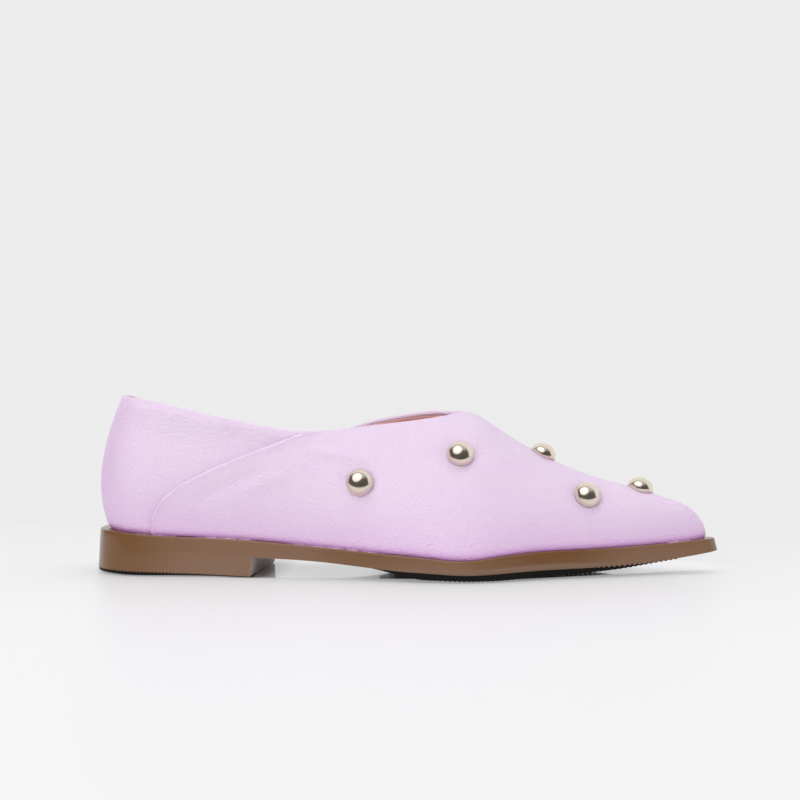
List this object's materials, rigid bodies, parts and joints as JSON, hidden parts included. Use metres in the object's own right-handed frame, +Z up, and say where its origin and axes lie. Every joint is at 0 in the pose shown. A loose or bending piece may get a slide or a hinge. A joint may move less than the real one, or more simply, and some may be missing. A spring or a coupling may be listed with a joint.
{
  "type": "leather shoe",
  "caption": "Pointed-toe slip-on leather flat with a V-cut throat, a lapped diagonal side seam, dome studs and a moulded sole with a low heel; the open collar takes a foot.",
  "frame": {"origin": "on the floor, under the centre of the shoe's bounding box", "axes": "+X to the toe, +Y to the inner (medial) side of the right foot, +Z up"},
  "size_m": [0.2698, 0.0801, 0.0774],
  "materials": {
    "sole": "semi-gloss brown moulded rubber",
    "upper_leather": "smooth lilac leather, satin",
    "sock": "matt salmon lining leather",
    "studs": "polished pale gold plating"
  },
  "bodies": {
    "root": {"outsole": "sole", "upper": "upper_leather", "insole": "sock", "stud_lateral_rear": "studs", "stud_lateral_middle": "studs", "stud_lateral_front": "studs", "stud_crest_rear": "studs", "stud_crest_front": "studs", "stud_medial_rear": "studs", "stud_medial_middle": "studs", "stud_medial_front": "studs"}
  },
  "joints": []
}
